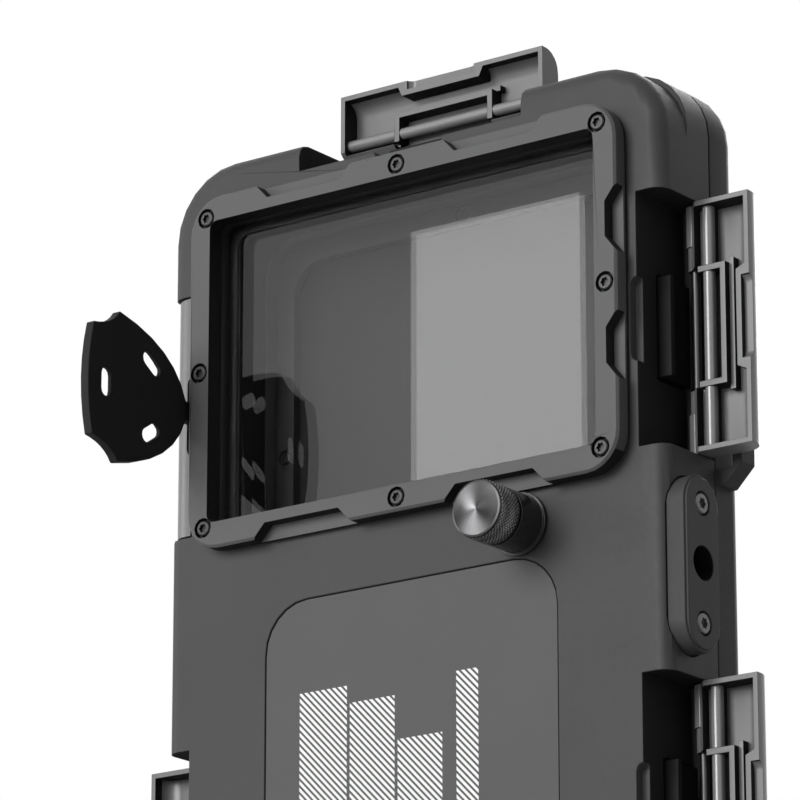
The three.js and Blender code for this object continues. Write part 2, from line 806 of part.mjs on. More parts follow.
function mountPlate() {
  const flat = solid(alongX(plateShape(0), plateBackX, plateFrontX - plateEdge));
  let body = joined(flat, alongX(plateShape(-plateEdge), plateFrontX - plateEdge - overrun, plateFrontX));
  const [fromX, toX] = [plateBackX - overrun, plateFrontX + overrun];
  body = cut(body, barX(plateHoleRadius, fromX, toX, plateY, plateZ, knobSides));
  for (const side of [-1, 1]) {
    const z = plateZ + side * plateScrewPlace;
    const seatX = plateFrontX - plateScrewHeadHeight;
    body = cut(body, barX(plateScrewHeadRadius + turnGap, seatX, plateFrontX + overrun, plateY, z));
    body = cut(body, barX(plateScrewRadius + turnGap, plateBackX - overrun, plateFrontX, plateY, z));
  }
  return body;
}

function mountScrews() {
  return [-1, 1].map((side) => {
    const screw = shaped(screwY(
      plateScrewHeadRadius,
      plateScrewHeadHeight - fitGap,
      plateScrewRadius,
      plateScrewLength,
      0,
      0,
      0,
    ));
    screw.rotateZ(Math.PI / 2);
    screw.translate(plateFrontX, plateY, plateZ + side * plateScrewPlace);
    return solid(screw);
  });
}

function tripodInsert() {
  const endX = plateBackX - fitGap;
  const startX = endX - insertLength;
  const body = solid(barX(insertRadius, startX, endX, plateY, plateZ, knobSides));
  return cut(body, barX(insertBoreRadius, startX - overrun, endX + overrun, plateY, plateZ, knobSides));
}

// The lever in the latch frame, closed: a shallow box with a rounded outer face, the walls of the key
// slot's notch, two pivot barrels, the cam bar that pulls the hook and a ribbed frame round the hook.
function latchLever() {
  const half = leverLength / 2;
  const earStart = half - barrelLength - earLength;
  const rind = solid(alongZ(leverOutline(), leverLength));
  const heelEnd = barrelRadius + overrun;
  const heelGap = block(leverInner, leverOuter + overrun, -barrelRadius, heelEnd, -earStart, earStart);
  let body = cut(rind, alongZ(leverHollow(), leverLength - 2 * leverRim));
  body = body.add(solid(leverNotch()).intersect(rind));
  body = joined(body, ...leverEnd(1), ...leverEnd(-1), ...leverFrame());
  body = joined(body, barZ(camRadius, -half + leverRim / 2, half - leverRim / 2, -camIn, -camAhead));
  body = cut(body, heelGap, barZ(pinRadius + turnGap, -leverLength, leverLength));
  return cut(body, keySlotCut(-leverReach - overrun, -leverReach + slotDepthLever));
}

// The tapered block behind the key slot.
function leverNotch() {
  const half = slotLength / 2 + notchWall;
  const innerY = -leverReach + slotDepthLever + notchWall;
  const outline = polygon([
    [-leverReach, -half - notchSlope],
    [-leverReach, half + notchSlope],
    [innerY, half],
    [innerY, -half],
  ]);
  return alongX(outline, leverInner, leverWallFace + fitGap);
}

// A stretch along Z on one side of the lever's middle.
function span(side, from, to) {
  return side > 0 ? [from, to] : [-to, -from];
}

// One end of the lever: the pivot barrel, the slimmer ear beside it and the webs that carry the cam bar.
function leverEnd(side) {
  const half = leverLength / 2;
  const barrelStart = half - barrelLength;
  const earSpan = span(side, barrelStart - earLength, barrelStart + fitGap);
  const webSpan = span(side, barrelStart - earLength, half);
  const camSpan = span(side, hookWidth / 2 + frameArm, half - leverRim + fitGap);
  const camHalf = camRadius * camWebShare;
  const skin = leverWallFace + fitGap;
  return [
    barZ(barrelRadius, ...span(side, barrelStart, half)),
    barZ(earRadius, ...earSpan),
    block(-earRadius / 2, leverOuter - fitGap, -barrelRadius - runGap, 0, ...webSpan),
    block(-camIn, skin, -camAhead - camHalf, -camAhead + camHalf, ...camSpan),
  ];
}

// The raised frame that stiffens the lever round the hook, with its stepped foot.
function leverFrame() {
  const armStart = hookWidth / 2 + 2 * runGap;
  const armEnd = armStart + frameArm;
  const footEnd = armEnd + frameStep;
  const skin = leverWallFace + fitGap;
  const top = leverWallFace - frameRise;
  const frameEndY = -frameFront - frameBar;
  const footTop = leverWallFace - frameStepRise;
  const arm = (side) => block(top, skin, frameEndY, -barrelRadius - runGap, ...span(side, armStart, armEnd));
  return [
    arm(1),
    arm(-1),
    block(top, skin, frameEndY, -frameFront, -armEnd, armEnd),
    block(footTop, skin, frameEndY - frameStep, frameEndY + fitGap, -footEnd, footEnd),
  ];
}

// A quarter round at the lever's free edge, drawn in by a wall at its outside and one at its edge.
function leverCorner(wall, rim) {
  const centreX = leverOuter - leverEdgeRadius;
  const centreY = -leverReach + leverEdgeRadius;
  const points = [];
  for (let step = 0; step <= cornerSteps; step += 1) {
    const angle = (Math.PI / 2) * (step / cornerSteps);
    const x = centreX + (leverEdgeRadius - wall) * Math.sin(angle);
    points.push([x, centreY - (leverEdgeRadius - rim) * Math.cos(angle)]);
  }
  return points;
}

// The lever's cross-section and its hollow, drawn around the pin.
function leverOutline() {
  return polygon([
    [leverInner, -leverShoulder],
    [leverInner, -leverReach],
    ...leverCorner(0, 0),
    [leverOuter, leverHeel],
    [-barrelRadius / 2, leverHeel],
  ]);
}

function leverHollow() {
  const backY = -barrelRadius + threadGap;
  return polygon([
    [leverInner - overrun, backY],
    [leverInner - overrun, -leverReach + leverRim],
    ...leverCorner(leverWall, leverRim),
    [leverWallFace, backY],
  ]);
}

function latchPin(latch) {
  const half = recessHalf(latch) + pinSink;
  return solid(barZ(pinRadius, -half, half));
}

// The hook on the cover that the lever's cam bar pulls forward, in the latch frame.
function coverHook() {
  const rootY = coverFrontY - pivotY + hookRoot;
  const half = hookWidth / 2;
  return [
    block(hookBottom, hookTop, hookFrontY, rootY, -half, half),
    block(hookTop - overrun, hookTop + hookLip, hookFrontY, hookFrontY + hookLipThickness, -half, half),
  ];
}

// The half on the screen side, with the hooks of all latches and the strap lug.
function screenCover() {
  const outer = alongYRounded(bodyShape, coverFrontY - backEdgeRadius, coverBackY, backEdgeRadius);
  const ahead = block(-bodyWidth, bodyWidth, shellFrontY, coverFrontY, -overrun, bodyHeight + overrun);
  let body = cut(solid(outer), ahead);
  body = cut(body, alongY(cavityShape(0), coverFrontY - overrun, coverLedgeY));
  const screen = roundedRectangle(screenWidth, screenHeight, screenCornerRadius, 0, bodyCentreZ);
  body = cut(body, alongY(screen, coverFrontY, coverBackY + overrun));
  for (const [x, z] of clampScrewPlaces()) {
    const endY = clampFaceY + clampScrewHeadHeight + clampScrewLength + fitGap;
    body = cut(body, barY(clampScrewRadius + threadGap, coverLedgeY - overrun, endY, x, z));
  }
  for (const latch of latches) {
    const matrix = latchMatrix(latch);
    body = joined(body, ...coverHook().map((geometry) => geometry.applyMatrix4(matrix)));
  }
  return joined(body, strapLug());
}

// A flat lug with a slot through it and a sloped lower end.
function strapLug() {
  const reach = halfWidth + lugReach;
  const bottom = lugZ - lugHeight / 2;
  const top = lugZ + lugHeight / 2;
  const shape = polygon([
    [halfWidth - overrun, bottom],
    [reach - lugChamfer, bottom],
    [reach, bottom + lugChamfer],
    [reach, top],
    [halfWidth - overrun, top],
  ]);
  const hole = new THREE.Path();
  const holeX = reach - lugBar;
  const half = lugHoleHeight / 2;
  hole.moveTo(halfWidth, lugZ - half);
  hole.lineTo(halfWidth, lugZ + half);
  hole.lineTo(holeX, lugZ + half);
  hole.lineTo(holeX, lugZ - half);
  hole.closePath();
  shape.holes.push(hole);
  const fromY = coverFrontY + lugSetback;
  return alongY(shape, fromY, fromY + lugThickness);
}

// The clear touch membrane and its clamp frame inside the cover.
const membraneBackY = coverLedgeY - fitGap;
const clampBackY = membraneBackY - membraneThickness - fitGap;
const clampFaceY = clampBackY - clampThickness;

function touchMembrane() {
  let body = solid(alongY(cavityShape(-membraneMargin), membraneBackY - membraneThickness, membraneBackY));
  for (const [x, z] of clampScrewPlaces()) {
    body = cut(body, barY(clampScrewRadius + fitGap, clampFaceY, coverBackY, x, z));
  }
  return body;
}

function membraneClamp() {
  const opening = roundedRectangle(screenWidth, screenHeight, screenCornerRadius, 0, bodyCentreZ);
  let body = solid(alongY(cavityShape(-clampEdge), clampFaceY, clampBackY));
  body = cut(body, alongY(opening, clampFaceY - overrun, clampBackY + overrun));
  for (const [x, z] of clampScrewPlaces()) {
    const seatY = clampFaceY + clampScrewHeadHeight;
    body = cut(body, barY(clampScrewHeadRadius + turnGap, clampFaceY - overrun, seatY, x, z));
    body = cut(body, barY(clampScrewRadius + turnGap, clampFaceY, coverBackY, x, z));
  }
  return body;
}

function clampScrews() {
  return clampScrewPlaces().map(([x, z]) => screwY(
    clampScrewHeadRadius,
    clampScrewHeadHeight - fitGap,
    clampScrewRadius,
    clampScrewLength,
    clampFaceY,
    x,
    z,
  ));
}

// Soft strips on the cavity's sides and a soft foot at its bottom.
function phoneCushions() {
  const fromY = seamY - sealDepth - stripDepth;
  const toY = fromY + stripDepth;
  const wallX = cavityWidth / 2 - fitGap;
  const lowZ = stripCentreZ - stripHeight / 2;
  const highZ = stripCentreZ + stripHeight / 2;
  const footZ = bodyCentreZ - cavityHeight / 2 + fitGap;
  return [
    block(wallX - stripThickness, wallX, fromY, toY, lowZ, highZ),
    block(-wallX, -wallX + stripThickness, fromY, toY, lowZ, highZ),
    block(-footWidth / 2, footWidth / 2, fromY, toY, footZ, footZ + footHeight),
  ].map(solid);
}

// The opening key: a rounded plate in the Y and Z plane, its tip towards +Y. It stands in the slot
// of the left upper latch, just clear of the window frame's side.
const keyX = -pivotX - slotCentre;
const keyTipY = shellFrontY + keySink;
const keyEndY = keyTipY - keyLength;

// The key's plate drawn in Y and Z: curved flanks up to two horns, hollow notches and a bowed far end.
function keyOutline(inset) {
  const outline = new THREE.Shape();
  const z = upperLatchZ;
  const shoulderY = keyTipY - keyTipLength - 2 * inset;
  const flankY = keyTipY - keyFlankPlace - inset;
  const hornY = keyTipY - keyHornPlace;
  const notchY = keyTipY - keyNotchPlace;
  const cornerY = keyEndY + keyEndBulge + inset;
  const bulgeY = keyEndY - keyEndBulge + inset;
  const [tip, flank] = [keyTipWidth / 2, keyFlankWidth / 2 - inset];
  const [horn, notch, end] = [keyHornWidth, keyNotchWidth, keyEndWidth].map((width) => width / 2 - inset);
  outline.moveTo(shoulderY, z - tip);
  outline.lineTo(shoulderY, z + tip);
  outline.quadraticCurveTo(flankY, z + flank, hornY, z + horn);
  outline.quadraticCurveTo(notchY, z + notch, cornerY, z + end);
  outline.quadraticCurveTo(bulgeY, z, cornerY, z - end);
  outline.quadraticCurveTo(notchY, z - notch, hornY, z - horn);
  outline.quadraticCurveTo(flankY, z - flank, shoulderY, z - tip);
  return new THREE.Shape(outline.getPoints(cornerSteps));
}

// The key is thinner inside its rim, and its three slots go through.
function openerKey() {
  const fromX = keyX - keyThickness / 2;
  const toX = keyX + keyThickness / 2;
  const shoulderY = keyTipY - keyTipLength - fitGap;
  const [lowZ, highZ] = [upperLatchZ - keyTipWidth / 2, upperLatchZ + keyTipWidth / 2];
  const sideSlotY = keyEndY + keySideSlotPlace;
  const tip = block(fromX, toX, shoulderY, keyTipY, lowZ, highZ);
  const plate = joined(solid(alongX(keyOutline(0), fromX, toX)), tip);
  return cut(
    plate,
    alongX(keyOutline(keyRimWidth), fromX - overrun, toX - keyWebThickness),
    keySlot(keyEndY + keyEndSlotPlace, upperLatchZ, keyEndSlotAngle),
    keySlot(sideSlotY, upperLatchZ + keySideSlotOffset, -keySideSlotAngle),
    keySlot(sideSlotY, upperLatchZ - keySideSlotOffset, keySideSlotAngle),
  );
}

function keySlot(y, z, degrees) {
  const shape = roundedRectangle(keySlotLength, keySlotWidth, keySlotWidth / 2, 0, 0, edgeSteps);
  const geometry = alongX(shape, -keyThickness, keyThickness);
  geometry.rotateX(THREE.MathUtils.degToRad(degrees));
  geometry.translate(keyX, y, z);
  return geometry;
}

// Colours and surface finish.
function finish(color, roughness, metalness, opacity = 1) {
  const transparent = opacity < 1;
  return new THREE.MeshStandardMaterial({ color, roughness, metalness, opacity, transparent });
}

const housing = new THREE.Group();

function addPiece(parent, name, body, material) {
  const mesh = new THREE.Mesh(shaped(body), material);
  mesh.name = name;
  parent.add(mesh);
  return mesh;
}

// Identical pieces are numbered from 1.
function addPieces(parent, name, bodies, material) {
  bodies.forEach((body, index) => addPiece(parent, `${name}_${index + 1}`, body, material()));
}

addPiece(housing, 'camera_shell', cameraShell(), finish(0x3b3b3d, 0.55, 0));
addPiece(housing, 'window_bezel', windowBezel(), finish(0x6a6a6c, 0.45, 0.4));
addPiece(housing, 'window_pane', windowPane(), finish(0xc8d0d4, 0.05, 0, 0.3));
addPiece(housing, 'window_gasket', windowGasket(), finish(0x101010, 0.8, 0));
addPiece(housing, 'pane_spacer', paneSpacer(), finish(0x161616, 0.8, 0));
addPieces(housing, 'bezel_screw', bezelScrews(), () => finish(0x55565a, 0.35, 0.9));
addPiece(housing, 'case_seal', caseSeal(), finish(0x8a8f94, 0.7, 0));
addPiece(housing, 'label_plate', labelPlate(), finish(0x59595b, 0.5, 0));
addPiece(housing, 'knob_collar', knobCollar(), finish(0x141414, 0.4, 0));
addPiece(housing, 'clamp_knob', clampKnob(), finish(0x8a8a8e, 0.3, 0.9));
addPiece(housing, 'clamp_spindle', clampSpindle(), finish(0x9a9a9e, 0.3, 1));
addPiece(housing, 'spindle_seal', spindleSeal(), finish(0x101010, 0.8, 0));
addPiece(housing, 'clamp_pad', clampPad(), finish(0x2a2a2c, 0.6, 0));
addPiece(housing, 'pad_face', padFace(), finish(0x4a4a4c, 0.9, 0));
addPiece(housing, 'mount_plate', mountPlate(), finish(0x3a3a3c, 0.5, 0));
addPieces(housing, 'mount_screw', mountScrews(), () => finish(0x5c5c60, 0.35, 0.9));
addPiece(housing, 'tripod_insert', tripodInsert(), finish(0xa8a8ac, 0.3, 1));
addPiece(housing, 'screen_cover', screenCover(), finish(0x39393b, 0.55, 0));
addPiece(housing, 'touch_membrane', touchMembrane(), finish(0x2b2c2e, 0.25, 0, 0.6));
addPiece(housing, 'membrane_clamp', membraneClamp(), finish(0x222224, 0.6, 0));
addPieces(housing, 'clamp_screw', clampScrews(), () => finish(0x5c5c60, 0.35, 0.9));
addPieces(housing, 'phone_cushion', phoneCushions(), () => finish(0x55585c, 0.9, 0));
addPiece(housing, 'opener_key', openerKey(), finish(0x1c1c1e, 0.6, 0));

for (const latch of latches) {
  const place = new THREE.Group();
  place.position.set(latch.x, pivotY, latch.z);
  place.rotation.y = THREE.MathUtils.degToRad(latch.turn);
  addPiece(place, `${latch.name}_pin`, latchPin(latch), finish(0x8c8c90, 0.25, 1));
  const lever = addPiece(place, `${latch.name}_lever`, latchLever(), finish(0x4c4c4e, 0.3, 0));
  lever.rotation.z = THREE.MathUtils.degToRad(latch.open);
  housing.add(place);
}

// Moves the origin to the centre of the pane's outer face.
const assembly = new THREE.Group();
housing.position.set(0, -paneFrontY, -windowZ);
assembly.add(housing);

export default assembly;
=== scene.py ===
"""Looks of the underwater camera housing: materials, knob, seals, soft pads, studio and camera.

Metres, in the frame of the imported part: the origin is the centre of the window pane, -Y looks out
of the window and +Z is up.
"""

import math

import bpy
from mathutils import Matrix, Vector


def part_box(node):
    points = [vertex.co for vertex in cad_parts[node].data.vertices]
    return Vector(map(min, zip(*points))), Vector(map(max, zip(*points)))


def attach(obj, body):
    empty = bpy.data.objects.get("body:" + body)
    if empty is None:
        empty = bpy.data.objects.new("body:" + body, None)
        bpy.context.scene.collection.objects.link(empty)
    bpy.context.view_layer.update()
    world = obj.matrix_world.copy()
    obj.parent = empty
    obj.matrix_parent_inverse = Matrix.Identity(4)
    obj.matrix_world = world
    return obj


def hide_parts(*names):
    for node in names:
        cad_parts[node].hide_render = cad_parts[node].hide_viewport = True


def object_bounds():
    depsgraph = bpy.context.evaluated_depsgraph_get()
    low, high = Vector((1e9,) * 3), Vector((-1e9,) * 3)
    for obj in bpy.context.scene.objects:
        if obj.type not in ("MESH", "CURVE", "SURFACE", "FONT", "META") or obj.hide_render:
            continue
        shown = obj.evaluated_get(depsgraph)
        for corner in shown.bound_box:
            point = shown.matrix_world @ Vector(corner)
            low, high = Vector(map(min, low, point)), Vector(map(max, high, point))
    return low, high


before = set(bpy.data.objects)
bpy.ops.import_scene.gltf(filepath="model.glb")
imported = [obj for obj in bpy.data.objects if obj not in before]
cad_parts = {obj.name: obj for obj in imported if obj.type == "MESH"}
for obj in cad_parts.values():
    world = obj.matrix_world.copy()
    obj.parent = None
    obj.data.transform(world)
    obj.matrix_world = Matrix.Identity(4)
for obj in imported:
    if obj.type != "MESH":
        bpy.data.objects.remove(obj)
cad_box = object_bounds()

MM = 0.001
X, Y, Z = range(3)

# ---------------------------------------------------------------- camera
CAMERA_PLACE = Vector((0.55965, -0.7575, -0.2999))
CAMERA_AZIMUTH = math.radians(36.608)
CAMERA_ELEVATION = math.radians(-16.9375)
CAMERA_NEAR = 0.05
LENS = 228.95
SENSOR = 36.0

# ---------------------------------------------------------------- studio
AMBIENT = 0.08
BACKGROUND = 1.0
WHITE = (1, 1, 1, 1)
FLOOR_SIZE = 8.0
FLOOR_TONES = ((0.84, 0.84, 0.84), (0.88, 0.88, 0.88))
LIGHT_TARGET = Vector((0.0, 0.008, -0.054))
# Name, place, width, height and level of each soft box.
SOFT_BOXES = (
    ("key", (-0.376, -1.76, 0.53), 1.0, 1.0, 10.0),
    ("left", (-1.66, -0.88, 0.11), 0.6, 0.9, 5.0),
    ("back", (-0.5, 1.6, 0.9), 1.2, 1.0, 4.0),
)
# The panel whose mirror image shows in the glass, parallel to it.
PANEL_X, PANEL_Y, PANEL_Z = -0.4795, -0.7, 0.269
PANEL_WIDTH, PANEL_HEIGHT = 0.077, 0.098
PANEL_LEVEL = 2.8

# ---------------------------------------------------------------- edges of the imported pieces
SHARP_ANGLE = math.radians(34)
FLAT_ANGLE = math.radians(0.6)
JOIN_DISTANCE = 0.001 * MM
MOULDED_EDGE = 0.22 * MM
FINE_EDGE = 0.10 * MM
NO_EDGE = 0
EDGE_SEGMENTS = 2
EVEN_WEIGHT = 50
# Pieces whose faces run round a hole, which dissolving would fill.
OPEN_FRAMES = ("window_bezel", "camera_shell")

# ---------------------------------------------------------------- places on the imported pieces
LATCHES = ("right_upper", "right_lower", "left_upper", "left_lower", "top", "bottom")
# Latches on the case's ends, whose pins run along X. The others' pins run along Z.
END_LATCHES = ("top", "bottom")
# Latches that swing out towards +X or +Z. The others swing out towards -X or -Z.
POSITIVE_LATCHES = ("right_upper", "right_lower", "top")
CLOSED_LATCHES = ("left_upper", "bottom")
BEZEL_CORNER = 8.0 * MM
BEZEL_SIDE_MARGIN = 0.3 * MM
BEZEL_CORNER_MARGIN = 0.5 * MM
OPENING_MARGIN = 0.5 * MM
RECESS_DEPTH = 6.1 * MM
SIDE_RECESS_GAP = 0.3 * MM
END_RECESS_GAP = 2.2 * MM
SEAM_MARGIN = 0.1 * MM
RECESS_MARGIN = 0.1 * MM
BAR_MARGIN = 0.1 * MM
BARREL_RADIUS = 1.75 * MM
CAM_RADIUS = 1.2 * MM
CAM_IN = 1.4 * MM
CAM_AHEAD = 4.0 * MM
LEVER_SKIN = 1.4 * MM
PLATE_HOLE_REACH = 4.0 * MM
# How far a wall's normal may lean, as its share along an axis.
STRAIGHT = 0.3
LEVER_LEAN = 0.4
POCKET_LEAN = 0.5
RIM_LEAN = 0.6

# ---------------------------------------------------------------- print on the label plate
PRINT_BOTTOM = -0.1330
STRIPE_PITCH = 1.35 * MM
STRIPE_SHARE = 0.56
INK = (0.82, 0.82, 0.82)
# Left and right side and top of each hatched bar.
PRINT_BARS = (
    (-0.0262, -0.0148, -0.0680),
    (-0.0141, -0.0034, -0.0715),
    (-0.0027, 0.0078, -0.0802),
    (0.0111, 0.0162, -0.0689),
)

# ---------------------------------------------------------------- knob
TURNED_SIDES = 96
KNURL_PITCHES = 44
KNURL_STEPS = 6
KNURL_ROWS = 42
KNURL_DEPTH = 0.34 * MM
KNURL_FADE = 0.3 * MM
KNOB_RIM = 0.55 * MM
KNOB_MARGIN = 0.02 * MM
# Inwards from the foot of the knurl, and down from the end face.
RIM_PROFILE = (
    (0.15 * MM, KNOB_RIM + 0.05 * MM),
    (0.0, KNOB_RIM),
    (0.10 * MM, 0.12 * MM),
    (0.45 * MM, 0.0),
    (0.45 * MM, 0.08 * MM),
)
FACE_INSET = 0.40 * MM
FACE_SKIRT = 0.20 * MM
FACE_DROP = 0.02 * MM
DIMPLE_RADIUS = 0.30 * MM
DIMPLE_FLOOR_RADIUS = 0.12 * MM
DIMPLE_DROP = 0.06 * MM
# Inwards from the foot of the knurl, and up from the back.
BACK_PROFILE = (
    (0.3 * MM, 0.0),
    (0.05 * MM, 0.2 * MM),
    (0.0, KNOB_RIM),
    (0.2 * MM, KNOB_RIM + 0.05 * MM),
)
# Sectors of painted highlight and painted shade on the turned end face, standing for the fan that
# its turning rings reflect.
HIGHLIGHT_FAN_SECTORS = 3.0
HIGHLIGHT_FAN_TURN = math.radians(60)

# ---------------------------------------------------------------- seals and soft pieces
QUARTER_STEPS = 8
SEAL_STEPS = 10
SMALLEST_CORNER = 0.2 * MM
SECTION_STEPS = 20
SECTION_POWER = 0.62
SECTION_BACK = 1.6
ROWS_PER_RIB = 12
END_ROWS = 8
GROOVE_DEPTH = 0.16
GROOVE_POWER = 6
# Width, height and back of a strip's section at its ends, as shares.
END_WIDTH = 0.82
END_HEIGHT = 0.55
END_BACK = 0.9
PAD_BORE = 2.9 * MM
PAD_CORNER = 1.6 * MM
# Along the pad's depth, and how far its outline is drawn in, as shares.
PAD_LAYERS = ((0.0, 0.03), (0.06, 0.0), (0.75, 0.0), (0.93, 0.05), (1.0, 0.16))


# ---------------------------------------------------------------- materials
COLD_TINT = 1.02
# The scale of a moulded skin's uneven gloss, as a share of its grain's.
GLOSS_SHARE = 0.45


class Nodes:
    """A material's node tree with short calls."""

    def __init__(self, name):
        self.material = bpy.data.materials.new(name)
        self.material.use_nodes = True
        self.tree = self.material.node_tree
        self.tree.nodes.clear()
        self.output = self.add("OutputMaterial")
        self.shader = self.add("BsdfPrincipled")
        self.link(self.shader.outputs["BSDF"], self.output.inputs["Surface"])
        self.place = self.add("TexCoord").outputs["Object"]

    def add(self, kind, **values):
        node = self.tree.nodes.new("ShaderNode" + kind)
        for key, value in values.items():
            setattr(node, key, value)
        return node

    def link(self, source, target):
        self.tree.links.new(source, target)

    def set(self, name, value):
        self.shader.inputs[name].default_value = value

    def noise(self, scale, detail=2.0, rough=0.5, vector=None):
        node = self.add("TexNoise")
        node.inputs["Scale"].default_value = scale
        node.inputs["Detail"].default_value = detail
        node.inputs["Roughness"].default_value = rough
        self.link(vector or self.place, node.inputs["Vector"])
        return node.outputs["Fac"]

    def stretched(self, scale):
        node = self.add("Mapping")
        node.inputs["Scale"].default_value = scale
        self.link(self.place, node.inputs["Vector"])
        return node.outputs["Vector"]

    def split_place(self):
        node = self.add("SeparateXYZ")
        self.link(self.place, node.inputs["Vector"])
        return [node.outputs[axis] for axis in "XYZ"]

    def blend(self, value, first, second, start=0.3, end=0.7):
        """The first color up to the start, the second from the end on, and a run between them."""
        node = self.add("ValToRGB")
        stops = ((start, first), (end, second))
        for element, (position, color) in zip(node.color_ramp.elements, stops):
            element.position = position
            element.color = (*color, 1)
        self.link(value, node.inputs["Fac"])
        return node.outputs["Color"]

    def span(self, value, low, high):
        node = self.add("MapRange")
        node.inputs["To Min"].default_value = low
        node.inputs["To Max"].default_value = high
        self.link(value, node.inputs["Value"])
        return node.outputs["Result"]

    def math(self, operation, *values):
        node = self.add("Math", operation=operation)
        for socket, value in zip(node.inputs, values):
            if isinstance(value, (int, float)):
                socket.default_value = value
            else:
                self.link(value, socket)
        return node.outputs["Value"]

    def mix(self, factor, first, second):
        node = self.add("Mix", data_type="RGBA")
        self.link(factor, node.inputs["Factor"])
        for name, value in (("A", first), ("B", second)):
            socket = [s for s in node.inputs if s.name == name and s.type == "RGBA"][0]
            if isinstance(value, tuple):
                socket.default_value = (*value, 1)
            else:
                self.link(value, socket)
        return [s for s in node.outputs if s.type == "RGBA"][0]

    def surface(self, factor, first, second):
        """Replaces the plain surface by a mix of two shaders."""
        mixer = self.add("MixShader")
        self.link(factor, mixer.inputs["Fac"])
        self.link(first.outputs["BSDF"], mixer.inputs[1])
        self.link(second.outputs["BSDF"], mixer.inputs[2])
        self.link(mixer.outputs["Shader"], self.output.inputs["Surface"])

    def bump(self, height, distance, strength=1.0):
        node = self.add("Bump")
        node.inputs["Distance"].default_value = distance
        node.inputs["Strength"].default_value = strength
        self.link(height, node.inputs["Height"])
        return node.outputs["Normal"]

    def color(self, source):
        self.link(source, self.shader.inputs["Base Color"])

    def rough(self, value, low, high):
        self.link(self.span(value, low, high), self.shader.inputs["Roughness"])

    def normal(self, source):
        self.link(source, self.shader.inputs["Normal"])


def grey(level):
    """A grey with a slightly cold tint."""
    return (level, level, level * COLD_TINT)


def moulded(
    name, level, rough, grain=2400, depth=0.012 * MM, specular=0.35, spread=0.07, uneven=0.06
):
    """Moulded plastic: a spark-eroded grain, faint flow marks and a slightly uneven gloss."""
    n = Nodes(name)
    flow = n.noise(scale=38, detail=3.0, rough=0.6)
    fine = n.noise(scale=grain, rough=0.7)
    speck = n.noise(scale=grain * GLOSS_SHARE, detail=1.0)
    n.color(n.blend(flow, grey(level * (1 - spread)), grey(level * (1 + spread))))
    n.rough(speck, low=rough - uneven, high=rough + uneven)
    n.normal(n.bump(fine, depth))
    n.set("Specular IOR Level", specular)
    return n


def metal(name, level, rough, along=(1, 1, 1), scale=900, depth=0.006 * MM):
    """Machined metal: drawn marks along one direction and a little variation in gloss."""
    n = Nodes(name)
    marks = n.noise(scale, detail=3.0, rough=0.6, vector=n.stretched(along))
    cloud = n.noise(scale=120)
    n.color(n.blend(cloud, grey(level * 0.9), grey(level * 1.06), start=0.25, end=0.75))
    n.rough(marks, low=rough - 0.05, high=rough + 0.07)
    n.normal(n.bump(marks, depth, strength=0.6))
    n.set("Metallic", 1.0)
    return n


def rubber(name, level, rough):
    """Soft moulded rubber with a dusty, uneven matt skin."""
    n = Nodes(name)
    dust = n.noise(scale=260, detail=4.0, rough=0.65)
    pores = n.noise(scale=3200, detail=1.0)
    n.color(n.blend(dust, grey(level * 0.85), grey(level * 1.25), end=0.75))
    n.rough(dust, low=rough - 0.08, high=rough + 0.1)
    n.normal(n.bump(pores, distance=0.012 * MM))
    n.set("Specular IOR Level", 0.3)
    return n


def pane_glass():
    """Clear glass that lets the lamps through to what is behind it, with faint wipe marks."""
    n = Nodes("glass_of_pane")
    wipe = n.noise(scale=22, detail=4.0, rough=0.6, vector=n.stretched((1, 1, 0.35)))
    n.rough(wipe, low=0.0, high=0.002)
    n.color(n.blend(wipe, (0.91, 0.91, 0.915), (0.95, 0.95, 0.955), start=0.2, end=0.8))
    n.set("Transmission Weight", 1.0)
    n.set("IOR", 1.46)
    clear = n.add("BsdfTransparent")
    clear.inputs["Color"].default_value = (0.87, 0.87, 0.875, 1)
    n.surface(n.add("LightPath").outputs["Is Shadow Ray"], n.shader, clear)
    return n


def smoky_film():
    """The dark touch film, smooth with a faint orange-peel."""
    n = Nodes("smoky_film")
    haze = n.noise(scale=45, detail=3.0, rough=0.6)
    n.color(n.blend(haze, grey(0.012), grey(0.014)))
    n.rough(haze, low=0.44, high=0.50)
    n.normal(n.bump(n.noise(scale=160, detail=1.0), distance=0.002 * MM, strength=0.1))
    n.set("Specular IOR Level", 0.07)
    return n


def inside(n, source, low, high):
    """1 where a value lies between two limits."""
    above = n.math("GREATER_THAN", source, low)
    below = n.math("LESS_THAN", source, high)
    return n.math("MULTIPLY", above, below)


def label_material():
    """The inlaid plate, with plain hatched bars where its print is."""
    n = moulded(
        "label_satin", level=0.058, rough=0.5,
        grain=3000, depth=0.008 * MM, specular=0.3, spread=0.04,
    )
    x, _, z = n.split_place()
    bars = None
    for left, right, top in PRINT_BARS:
        bar = n.math("MULTIPLY", inside(n, x, left, right), inside(n, z, PRINT_BOTTOM, top))
        bars = bar if bars is None else n.math("MAXIMUM", bars, bar)
    diagonal = n.math("DIVIDE", n.math("ADD", x, z), STRIPE_PITCH)
    stripe = n.math("LESS_THAN", n.math("FRACT", diagonal), STRIPE_SHARE)
    base = n.shader.inputs["Base Color"].links[0].from_socket
    n.color(n.mix(n.math("MULTIPLY", bars, stripe), base, INK))
    return n


